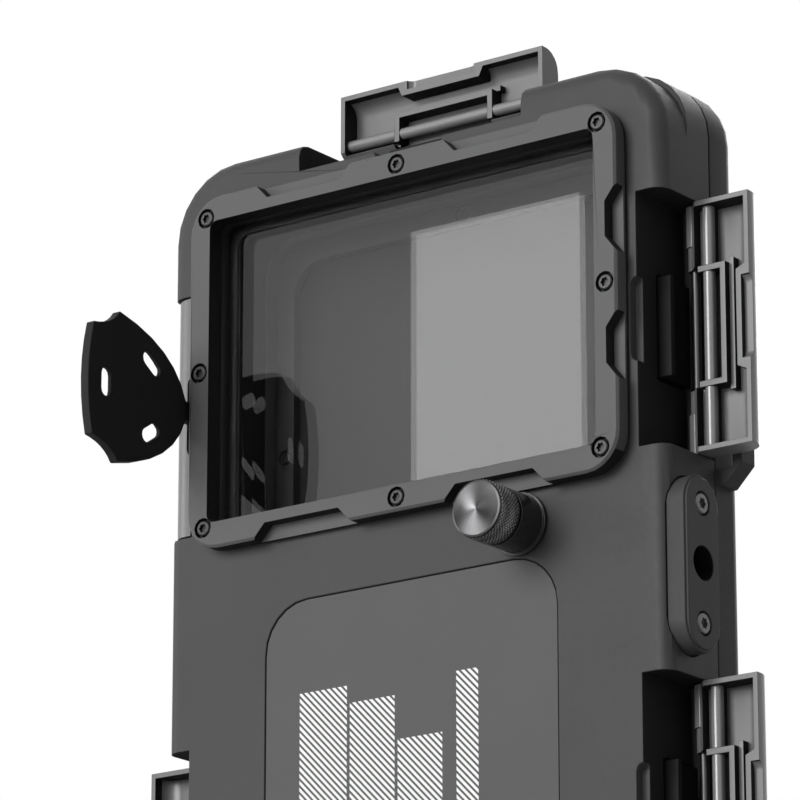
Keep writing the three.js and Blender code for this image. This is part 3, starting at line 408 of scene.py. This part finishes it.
def turned_metal():
    """The knob's end face: fine turning rings with an anisotropic gloss, and a fan of painted
    highlight and painted shade in its colour.
    """
    n = Nodes("turned_aluminium")
    x, y, _ = n.split_place()
    square_sum = n.math("ADD", n.math("POWER", x, 2.0), n.math("POWER", y, 2.0))
    rings = n.add("TexNoise", noise_dimensions="1D")
    rings.inputs["Scale"].default_value = 9000
    rings.inputs["Detail"].default_value = 2.0
    n.link(n.math("SQRT", square_sum), rings.inputs["W"])
    # The fan's bright and dark sectors are painted highlight and painted shade.
    turn = n.math("MULTIPLY", n.math("ARCTAN2", y, x), HIGHLIGHT_FAN_SECTORS)
    wave = n.math("COSINE", n.math("SUBTRACT", turn, HIGHLIGHT_FAN_TURN))
    painted_fan = n.math("MULTIPLY", n.math("ADD", wave, 1.0), 0.5)
    n.color(n.blend(painted_fan, grey(0.035), grey(0.115), start=0.0, end=1.0))
    n.rough(rings.outputs["Fac"], low=0.18, high=0.26)
    n.normal(n.bump(rings.outputs["Fac"], distance=0.004 * MM, strength=0.5))
    n.set("Metallic", 1.0)
    n.set("Anisotropic", 0.9)
    tangent = n.add("Tangent", direction_type="RADIAL", axis="Z")
    n.link(tangent.outputs["Tangent"], n.shader.inputs["Tangent"])
    return n


def black_gloss(name, level, rough):
    return moulded(name, level, rough, grain=1500, depth=0.004 * MM, specular=0.5)


HOUSING = moulded("housing_matt", level=0.047, rough=0.50, specular=0.2).material
COVER = moulded("cover_matt", level=0.046, rough=0.54, specular=0.13).material
BEZEL = moulded(
    "bezel_satin", level=0.089, rough=0.46,
    grain=2800, depth=0.006 * MM, specular=0.2, spread=0.04,
).material
LEVER = moulded(
    "lever_satin", level=0.135, rough=0.32, grain=1800, depth=0.005 * MM, specular=0.5,
).material
# The pivot barrels and cam bars: glossier than the lever, and painted brighter as a highlight.
LEVER_BAR_PAINTED_HIGHLIGHT = moulded(
    "lever_bar_painted_highlight", level=0.20, rough=0.24,
    grain=1900, depth=0.0006 * MM, specular=0.8, spread=0.03, uneven=0.02,
).material
# Near-black copies of the plastic, put on faces where shade falls: painted shade.
PAINTED_SHADE_WALL = moulded("painted_shade_wall", level=0.014, rough=0.6, specular=0.1).material
PAINTED_SHADE_BLACK = moulded("painted_shade_black", level=0.006, rough=0.55, specular=0.15).material
KEY = moulded(
    "key_matt", level=0.016, rough=0.6, grain=1700, depth=0.02 * MM, specular=0.12,
).material
COLLAR = black_gloss("collar_gloss", level=0.02, rough=0.25).material
SPACER = black_gloss("spacer_gloss", level=0.008, rough=0.5).material
PAD_BODY = moulded("pad_nylon", level=0.03, rough=0.5).material
CLAMP = moulded(
    "clamp_black", level=0.02, rough=0.5, depth=0.002 * MM, specular=0.2, uneven=0.03,
).material
SIDE_PLATE = moulded("side_plate_satin", level=0.052, rough=0.5, specular=0.15).material
SCREW = metal("screw_steel", level=0.052, rough=0.42).material
# The side screws get a brighter copy of the screw steel: painted light.
SIDE_SCREW_PAINTED_BRIGHT = metal("side_screw_steel_painted_bright", level=0.12, rough=0.40).material
PIN = metal("pin_steel", level=0.09, rough=0.4, along=(1, 1, 0.1)).material
INSERT = metal("insert_brass_nickel", level=0.5, rough=0.3, along=(0.1, 1, 1)).material
KNURL = metal("knurl_steel", level=0.15, rough=0.26, scale=1500).material
RIM = metal("rim_steel", level=0.075, rough=0.36, scale=1500).material
TURNED = turned_metal().material
GLASS = pane_glass().material
FILM = smoky_film().material
LABEL = label_material().material
RUBBER = rubber("black_rubber_skin", level=0.022, rough=0.7).material
SEAL = rubber("grey_silicone_skin", level=0.16, rough=0.55).material
FOAM = rubber("grey_pad_skin", level=0.13, rough=0.8).material


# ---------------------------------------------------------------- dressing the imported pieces
def paint(node, material):
    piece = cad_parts[node]
    piece.data.materials.clear()
    piece.data.materials.append(material)
    return piece


def smooth(mesh):
    """Soft shading over the round forms, with the real edges kept crisp."""
    mesh.shade_smooth()
    mesh.set_sharp_from_angle(angle=SHARP_ANGLE)


def soften(piece, width, open_frame):
    """A small moulded radius on every sharp edge, and even shading over the forms between them."""
    joined = piece.modifiers.new("joined", "WELD")
    joined.merge_threshold = JOIN_DISTANCE
    if not open_frame:
        flat = piece.modifiers.new("flat", "DECIMATE")
        flat.decimate_type = "DISSOLVE"
        flat.angle_limit = FLAT_ANGLE
        flat.delimit = {"MATERIAL"}
    edge = piece.modifiers.new("edge", "BEVEL")
    edge.limit_method = "ANGLE"
    edge.angle_limit = SHARP_ANGLE
    edge.width = width
    edge.segments = EDGE_SEGMENTS
    edge.use_clamp_overlap = False
    even = piece.modifiers.new("even", "WEIGHTED_NORMAL")
    even.mode = "FACE_AREA"
    even.weight = EVEN_WEIGHT


def numbered(name, count):
    return [f"{name}_{index + 1}" for index in range(count)]


BEZEL_SCREWS = numbered("bezel_screw", 8)
CLAMP_SCREWS = numbered("clamp_screw", 6)
SIDE_SCREWS = numbered("mount_screw", 2)

DRESS = {
    "camera_shell": (HOUSING, MOULDED_EDGE),
    "screen_cover": (COVER, MOULDED_EDGE),
    "window_bezel": (BEZEL, FINE_EDGE),
    "window_pane": (GLASS, NO_EDGE),
    "pane_spacer": (SPACER, NO_EDGE),
    "label_plate": (LABEL, FINE_EDGE),
    "knob_collar": (COLLAR, FINE_EDGE),
    "clamp_spindle": (PIN, FINE_EDGE),
    "clamp_pad": (PAD_BODY, MOULDED_EDGE),
    "mount_plate": (SIDE_PLATE, MOULDED_EDGE),
    "tripod_insert": (INSERT, FINE_EDGE),
    "touch_membrane": (FILM, NO_EDGE),
    "membrane_clamp": (CLAMP, FINE_EDGE),
    "opener_key": (KEY, MOULDED_EDGE),
}
for name in BEZEL_SCREWS + CLAMP_SCREWS:
    DRESS[name] = (SCREW, FINE_EDGE)
for name in SIDE_SCREWS:
    DRESS[name] = (SIDE_SCREW_PAINTED_BRIGHT, FINE_EDGE)
for name in LATCHES:
    DRESS[name + "_pin"] = (PIN, FINE_EDGE)
    DRESS[name + "_lever"] = (LEVER, FINE_EDGE)

for name, (material, width) in DRESS.items():
    piece = paint(name, material)
    smooth(piece.data)
    if width != NO_EDGE:
        soften(piece, width, name in OPEN_FRAMES)


# ---------------------------------------------------------------- walls painted with shade
def shade(node, material, chosen):
    """Gives the chosen faces of a piece a material of their own: painted shade or painted
    highlight.
    """
    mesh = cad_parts[node].data
    mesh.materials.append(material)
    index = len(mesh.materials) - 1
    for face in mesh.polygons:
        if chosen(face.center, face.normal):
            face.material_index = index


def upright(normal, lean):
    """True of a wall that runs front to back."""
    return abs(normal.y) < lean


pane_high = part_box("window_pane")[1]
bezel_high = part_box("window_bezel")[1]
shell_low, shell_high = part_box("camera_shell")


def in_opening(place, slack=0.0):
    return abs(place.x) < pane_high.x + slack and abs(place.z) < pane_high.z + slack


def in_pocket(place):
    """Between the opening and the frame's outer side, where the pockets and the screw holes are."""
    x, z = abs(place.x), abs(place.z)
    beside = x < bezel_high.x - BEZEL_SIDE_MARGIN and z < bezel_high.z - BEZEL_SIDE_MARGIN
    corner_x = x - (bezel_high.x - BEZEL_CORNER)
    corner_z = z - (bezel_high.z - BEZEL_CORNER)
    outside = math.hypot(corner_x, corner_z) > BEZEL_CORNER - BEZEL_CORNER_MARGIN
    return beside and not (corner_x > 0 and corner_z > 0 and outside)


def shell_opening(place, normal):
    return in_opening(place, OPENING_MARGIN) and upright(normal, STRAIGHT)


def bezel_wall(place, normal):
    return upright(normal, POCKET_LEAN) and (in_opening(place) or in_pocket(place))


def bezel_underside(place, normal):
    downwards = upright(normal, POCKET_LEAN) and normal.z < -RIM_LEAN
    return downwards and not in_opening(place)


def rim_wall(place, normal):
    return upright(normal, RIM_LEAN)


# Painted shade: the walls of the window's opening and of the frame's pockets are black, and the
# frame's underside dark. The pane's rim is black, partly as a blacked glass edge and partly as
# painted shade over its bright edge lines.
shade("window_pane", PAINTED_SHADE_BLACK, rim_wall)
shade("camera_shell", PAINTED_SHADE_BLACK, shell_opening)
shade("window_bezel", PAINTED_SHADE_BLACK, bezel_wall)
shade("window_bezel", PAINTED_SHADE_WALL, bezel_underside)


def latch_axes(name):
    """The axis along a latch's pin, and the one that it swings out along."""
    return (X, Z) if name in END_LATCHES else (Z, X)


def latch_span(name):
    """Middle and half length of a latch along its pin."""
    low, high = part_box(name + "_lever")
    along, _ = latch_axes(name)
    return (low[along] + high[along]) / 2, (high[along] - low[along]) / 2


LATCH_SPANS = {name: latch_span(name) for name in LATCHES}


def in_recess(place, normal):
    """Inside the pocket that a latch lies in."""
    for name, (middle, half) in LATCH_SPANS.items():
        along, out = latch_axes(name)
        gap = END_RECESS_GAP if name in END_LATCHES else SIDE_RECESS_GAP
        if abs(place[along] - middle) > half + gap + RECESS_MARGIN:
            continue
        if name in POSITIVE_LATCHES:
            deep = place[out] > shell_high[out] - RECESS_DEPTH
        else:
            deep = place[out] < shell_low[out] + RECESS_DEPTH
        if deep:
            return True
    return False


def ahead_of_seam(place, normal):
    return place.y < shell_high.y - SEAM_MARGIN


# Painted shade: the recesses and the hooks in them are coloured near black.
shade("camera_shell", PAINTED_SHADE_WALL, in_recess)
shade("screen_cover", PAINTED_SHADE_BLACK, ahead_of_seam)

plate_low, plate_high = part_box("mount_plate")
plate_middle = (plate_low + plate_high) / 2


def plate_bore(place, normal):
    reach = math.hypot(place.y - plate_middle.y, place.z - plate_middle.z)
    return abs(normal.x) < STRAIGHT and reach < PLATE_HOLE_REACH


# The tripod hole's wall is painted black as shade.
shade("mount_plate", PAINTED_SHADE_BLACK, plate_bore)


def bar_places(name):
    """Where the pivot barrels and the cam bar run, as points across the pin."""
    low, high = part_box(name + "_pin")
    pivot = (low + high) / 2
    _, out = latch_axes(name)
    sign = 1 if name in POSITIVE_LATCHES else -1
    step = Vector((0, 0, 0))
    if name in CLOSED_LATCHES:
        step[out], step.y = -sign * CAM_IN, -CAM_AHEAD
    else:
        step[out], step.y = sign * CAM_AHEAD, -CAM_IN
    return (pivot, BARREL_RADIUS), (pivot + step, CAM_RADIUS)


def dress_lever(name):
    """Painted highlight on the bars, and painted shade on the walls inside the hollow lever."""
    node = name + "_lever"
    low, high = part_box(node)
    along, out = latch_axes(name)
    flat_axis = out if name in CLOSED_LATCHES else Y
    bars = bar_places(name)

    def on_bar(place, normal):
        if abs(normal[along]) > STRAIGHT:
            return False
        for centre, radius in bars:
            gap = place - centre
            gap[along] = 0
            if gap.length < radius + BAR_MARGIN:
                return True
        return False

    def inner_wall(place, normal):
        if on_bar(place, normal) or abs(normal[flat_axis]) > LEVER_LEAN:
            return False
        axis = max(range(3), key=lambda index: abs(normal[index]))
        room = high[axis] - place[axis] if normal[axis] > 0 else place[axis] - low[axis]
        return room > LEVER_SKIN

    # The bars get a painted highlight and the hollow's walls painted shade.
    shade(node, LEVER_BAR_PAINTED_HIGHLIGHT, on_bar)
    shade(node, PAINTED_SHADE_WALL, inner_wall)


for name in LATCHES:
    dress_lever(name)

# The sides of the frame screws' heads are painted black as shade.
for name in BEZEL_SCREWS:
    shade(name, PAINTED_SHADE_BLACK, rim_wall)


# ---------------------------------------------------------------- new pieces
def piece_from(name, vertices, faces, material, body, placing=None):
    """A new mesh piece that rides on a body of the part."""
    mesh = bpy.data.meshes.new(name)
    mesh.from_pydata(vertices, [], faces)
    mesh.update()
    mesh.materials.append(material)
    smooth(mesh)
    piece = bpy.data.objects.new(name, mesh)
    if placing is not None:
        piece.matrix_world = placing
    bpy.context.scene.collection.objects.link(piece)
    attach(piece, body)
    return piece


def rounded_loop(width, height, radius):
    """Corner points of a rounded rectangle, centred on zero, counted round."""
    points = []
    for quarter, (side_x, side_z) in enumerate(((1, 1), (-1, 1), (-1, -1), (1, -1))):
        centre_x = side_x * (width / 2 - radius)
        centre_z = side_z * (height / 2 - radius)
        for step in range(QUARTER_STEPS + 1):
            angle = math.pi / 2 * (quarter + step / QUARTER_STEPS)
            x = centre_x + radius * math.cos(angle)
            z = centre_z + radius * math.sin(angle)
            points.append((x, z))
    return points


def ring_grid(columns, rows, closed_rows=True):
    """Quads of a grid whose columns close on themselves."""
    faces = []
    for row in range(rows if closed_rows else rows - 1):
        start, above = row * columns, (row + 1) % rows * columns
        for column in range(columns):
            after = (column + 1) % columns
            faces.append((start + column, start + after, above + after, above + column))
    return faces


def capped_grid(columns, rows):
    """A closed tube: a grid with a face on its first and one on its last row."""
    first = tuple(range(columns))
    last = tuple(range((rows - 1) * columns, rows * columns))
    return ring_grid(columns, rows, closed_rows=False), first, last


def squared(value, power):
    """A power that keeps the sign, which squares or pinches a round section."""
    return math.copysign(abs(value) ** power, value)


def ring_seal(name, node, width, material, slot, corner, power):
    """A rubber ring of rounded section that fills the box of a flat ring node."""
    low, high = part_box(node)
    size = high - low
    centre = (low + high) / 2
    vertices = []
    for step in range(SEAL_STEPS):
        angle = 2 * math.pi * step / SEAL_STEPS
        inset = width / 2 * (1 - squared(math.cos(angle), power))
        y = centre.y + squared(math.sin(angle), power) * size.y / 2
        radius = max(corner - inset, SMALLEST_CORNER)
        for x, z in rounded_loop(size.x - 2 * inset, size.z - 2 * inset, radius):
            vertices.append((centre.x + x, y, centre.z + z))
    faces = ring_grid(len(vertices) // SEAL_STEPS, SEAL_STEPS)
    piece = piece_from(name, vertices, faces, material, "housing")
    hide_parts(node)


def crowned_section():
    """A section of unit half width and depth: flat on its back at -1 and full on its front."""
    points = []
    for step in range(SECTION_STEPS):
        angle = 2 * math.pi * step / SECTION_STEPS
        across = squared(math.cos(angle), SECTION_POWER)
        out = squared(math.sin(angle), SECTION_POWER)
        points.append((across, out if out > 0 else -min(1.0, -out * SECTION_BACK)))
    return points


def grown(at_end, share):
    """A size that grows from its value at a strip's end to 1."""
    return at_end + (1 - at_end) * share


def ribbed_strip(name, node, ribs, material, slot, out_axis, out_sign, long_axis):
    """A soft moulded strip: crowned across, rounded at its ends, with shallow cross grooves."""
    low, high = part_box(node)
    centre = (low + high) / 2
    half = (high - low) / 2
    across_axis = X + Y + Z - out_axis - long_axis
    rows = ROWS_PER_RIB * ribs
    vertices = []
    for row in range(rows + 1):
        along = -1 + 2 * row / rows
        end = min(1.0, (1 - abs(along)) * rows / END_ROWS)
        end = math.sqrt(max(0.0, 1 - (1 - end) ** 2))
        wave = max(0.0, math.cos(2 * math.pi * ribs * (row / rows)))
        front = (1 - GROOVE_DEPTH * wave ** GROOVE_POWER) * grown(END_HEIGHT, end)
        back = grown(END_BACK, end)
        for across, out in crowned_section():
            point = Vector((0.0, 0.0, 0.0))
            point[across_axis] = across * half[across_axis] * grown(END_WIDTH, end)
            point[out_axis] = out_sign * half[out_axis] * out * (front if out > 0 else back)
            point[long_axis] = along * half[long_axis]
            vertices.append(tuple(centre + point))
    faces, first, last = capped_grid(SECTION_STEPS, rows + 1)
    faces += [first, tuple(reversed(last))]
    piece = piece_from(name, vertices, faces, material, "housing")
    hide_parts(node)


def lathe(name, profile, material, body, placing):
    """A turned piece round its own Z axis, pointing out of the front of the case."""
    vertices = []
    for radius, height in profile:
        for side in range(TURNED_SIDES):
            angle = 2 * math.pi * side / TURNED_SIDES
            vertices.append((radius * math.cos(angle), radius * math.sin(angle), height))
    faces, first, last = capped_grid(TURNED_SIDES, len(profile))
    faces += [tuple(reversed(first)), last]
    return piece_from(name, vertices, faces, material, body, placing)


def triangle_wave(value):
    """Runs from 0 at whole numbers to 1 halfway between them, and back."""
    return abs(2 * (value - math.floor(value + 0.5)))


def knurled_grip(radius, length, placing):
    """The diamond knurl round the knob's side, which fades out at both rims."""
    columns = KNURL_PITCHES * KNURL_STEPS
    lean = KNURL_PITCHES / (2 * math.pi * radius)
    vertices = []
    for row in range(KNURL_ROWS + 1):
        height = KNOB_RIM + (length - 2 * KNOB_RIM) * row / KNURL_ROWS
        from_rim = min(height - KNOB_RIM, length - KNOB_RIM - height)
        fade = max(0.0, min(1.0, from_rim / KNURL_FADE))
        for column in range(columns):
            share = column / columns
            first = triangle_wave(KNURL_PITCHES * share + lean * height)
            second = triangle_wave(KNURL_PITCHES * share - lean * height)
            relief = KNURL_DEPTH * min(first, second) * fade
            reach = radius - KNURL_DEPTH * (1 - fade) - (KNURL_DEPTH - relief) * fade
            angle = 2 * math.pi * share
            vertices.append((reach * math.cos(angle), reach * math.sin(angle), height))
    faces = ring_grid(columns, KNURL_ROWS + 1, closed_rows=False)
    grip = piece_from("knurled_grip", vertices, faces, KNURL, "knob", placing)
    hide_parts("clamp_knob")


def knurled_knob():
    """The knob: diamond knurl round its side, chamfered rims and a turned end face."""
    low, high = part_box("clamp_knob")
    radius = (high.x - low.x) / 2 - KNOB_MARGIN
    length = high.y - low.y
    inner = radius - KNURL_DEPTH
    foot = Vector(((low.x + high.x) / 2, high.y, (low.z + high.z) / 2))
    placing = Matrix.Translation(foot) @ Matrix.Rotation(math.pi / 2, 4, "X")
    knurled_grip(radius, length, placing)
    rim_profile = [(inner - inwards, length - down) for inwards, down in RIM_PROFILE]
    face_profile = (
        (inner - FACE_INSET, length - FACE_SKIRT),
        (inner - FACE_INSET, length - FACE_DROP),
        (DIMPLE_RADIUS, length - FACE_DROP),
        (DIMPLE_FLOOR_RADIUS, length - DIMPLE_DROP),
    )
    back_profile = [(inner - inwards, up) for inwards, up in BACK_PROFILE]
    lathe("knob_rim", rim_profile, RIM, "knob", placing)
    lathe("knob_face", face_profile, TURNED, "knob", placing)
    lathe("knob_back", back_profile, KNURL, "knob", placing)


def soft_pad_face():
    """The soft face of the clamp pad: a crowned rubber pad with rounded sides round the spindle."""
    low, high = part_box("pad_face")
    size = high - low
    centre = (low + high) / 2
    vertices = []
    for along, inset in PAD_LAYERS:
        pull = inset * size.z
        for x, z in rounded_loop(size.x - pull, size.z - pull, PAD_CORNER):
            vertices.append((centre.x + x, low.y + along * size.y, centre.z + z))
    outline = rounded_loop(size.x, size.z, PAD_CORNER)
    for along in (1.0, 0.0):
        for x, z in outline:
            angle = math.atan2(z, x)
            bore_x, bore_z = PAD_BORE * math.cos(angle), PAD_BORE * math.sin(angle)
            vertices.append((centre.x + bore_x, low.y + along * size.y, centre.z + bore_z))
    faces = ring_grid(len(outline), len(PAD_LAYERS) + 2)
    piece = piece_from("soft_pad_face", vertices, faces, RUBBER, "pad")
    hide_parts("pad_face")


# Name, node, width across the ring, material, slot, outer corner and the section's power.
for seal in (
    ("case_seal_lip", "case_seal", 2.0 * MM, SEAL, "grey_rubber", 11.3 * MM, 0.5),
    ("window_gasket_ring", "window_gasket", 2.0 * MM, RUBBER, "black_rubber", 4.8 * MM, 0.35),
    ("spindle_seal_ring", "spindle_seal", 1.2 * MM, RUBBER, "black_rubber", 3.85 * MM, 0.8),
):
    ring_seal(*seal)
# Name, node, ribs, material, slot, the axis and sign that the crown faces, and the long axis.
for strip in (
    ("side_strip_right", "phone_cushion_1", 9, FOAM, "grey_rubber", X, -1, Z),
    ("side_strip_left", "phone_cushion_2", 9, FOAM, "grey_rubber", X, 1, Z),
    ("foot_strip", "phone_cushion_3", 7, FOAM, "grey_rubber", Z, 1, X),
):
    ribbed_strip(*strip)
knurled_knob()
soft_pad_face()


# ---------------------------------------------------------------- studio
def soft_light(name, place, target, width, height, level):
    """A soft box that shows as a white panel of the given level, turned towards a target."""
    lamp = bpy.data.lights.new(name, "AREA")
    lamp.shape = "RECTANGLE"
    lamp.size, lamp.size_y = width, height
    lamp.energy = level * math.pi * width * height
    holder = bpy.data.objects.new(name, lamp)
    place, target = Vector(place), Vector(target)
    holder.location = place
    holder.rotation_euler = (place - target).to_track_quat("Z", "Y").to_euler()
    bpy.context.scene.collection.objects.link(holder)


def background(tree, strength):
    node = tree.nodes.new("ShaderNodeBackground")
    node.inputs["Color"].default_value = WHITE
    node.inputs["Strength"].default_value = strength
    return node.outputs["Background"]


def world_light():
    """Soft light from all round, and white where camera, gloss or glass looks past the object."""
    world = bpy.data.worlds.new("studio")
    bpy.context.scene.world = world
    world.use_nodes = True
    tree = world.node_tree
    tree.nodes.clear()
    output = tree.nodes.new("ShaderNodeOutputWorld")
    path = tree.nodes.new("ShaderNodeLightPath")
    seen = path.outputs["Is Camera Ray"]
    for name in ("Is Glossy Ray", "Is Transmission Ray"):
        either = tree.nodes.new("ShaderNodeMath")
        either.operation = "MAXIMUM"
        tree.links.new(seen, either.inputs[0])
        tree.links.new(path.outputs[name], either.inputs[1])
        seen = either.outputs["Value"]
    mixer = tree.nodes.new("ShaderNodeMixShader")
    tree.links.new(seen, mixer.inputs["Fac"])
    tree.links.new(background(tree, AMBIENT), mixer.inputs[1])
    tree.links.new(background(tree, BACKGROUND), mixer.inputs[2])
    tree.links.new(mixer.outputs["Shader"], output.inputs["Surface"])


def floor():
    """A pale floor that can be looked through from below, where the camera stands."""
    n = Nodes("pale_floor")
    n.color(n.blend(n.noise(scale=3), *FLOOR_TONES))
    n.set("Roughness", 0.9)
    n.set("Specular IOR Level", 0.1)
    clear = n.add("BsdfTransparent")
    n.surface(n.add("NewGeometry").outputs["Backfacing"], n.shader, clear)
    half = FLOOR_SIZE / 2
    corners = [
        (side_x * half, side_y * half, cad_box[0].z)
        for side_x, side_y in ((-1, -1), (1, -1), (1, 1), (-1, 1))
    ]
    mesh = bpy.data.meshes.new("floor")
    mesh.from_pydata(corners, [], [(0, 1, 2, 3)])
    mesh.materials.append(n.material)
    ground = bpy.data.objects.new("floor", mesh)
    bpy.context.scene.collection.objects.link(ground)


def make_camera():
    back = Vector((
        math.sin(CAMERA_AZIMUTH) * math.cos(CAMERA_ELEVATION),
        -math.cos(CAMERA_AZIMUTH) * math.cos(CAMERA_ELEVATION),
        math.sin(CAMERA_ELEVATION),
    ))
    data = bpy.data.cameras.new("camera")
    data.lens = LENS
    data.sensor_width = SENSOR
    data.clip_start = CAMERA_NEAR
    camera = bpy.data.objects.new("camera", data)
    camera.location = CAMERA_PLACE
    camera.rotation_euler = back.to_track_quat("Z", "Y").to_euler()
    bpy.context.scene.collection.objects.link(camera)
    bpy.context.scene.camera = camera


world_light()
floor()
make_camera()
for name, place, width, height, level in SOFT_BOXES:
    soft_light(name, place, LIGHT_TARGET, width, height, level)
soft_light(
    "glass_panel", (PANEL_X, PANEL_Y, PANEL_Z), (PANEL_X, 0.0, PANEL_Z),
    PANEL_WIDTH, PANEL_HEIGHT, PANEL_LEVEL,
)

bpy.context.scene.view_settings.view_transform = "Standard"
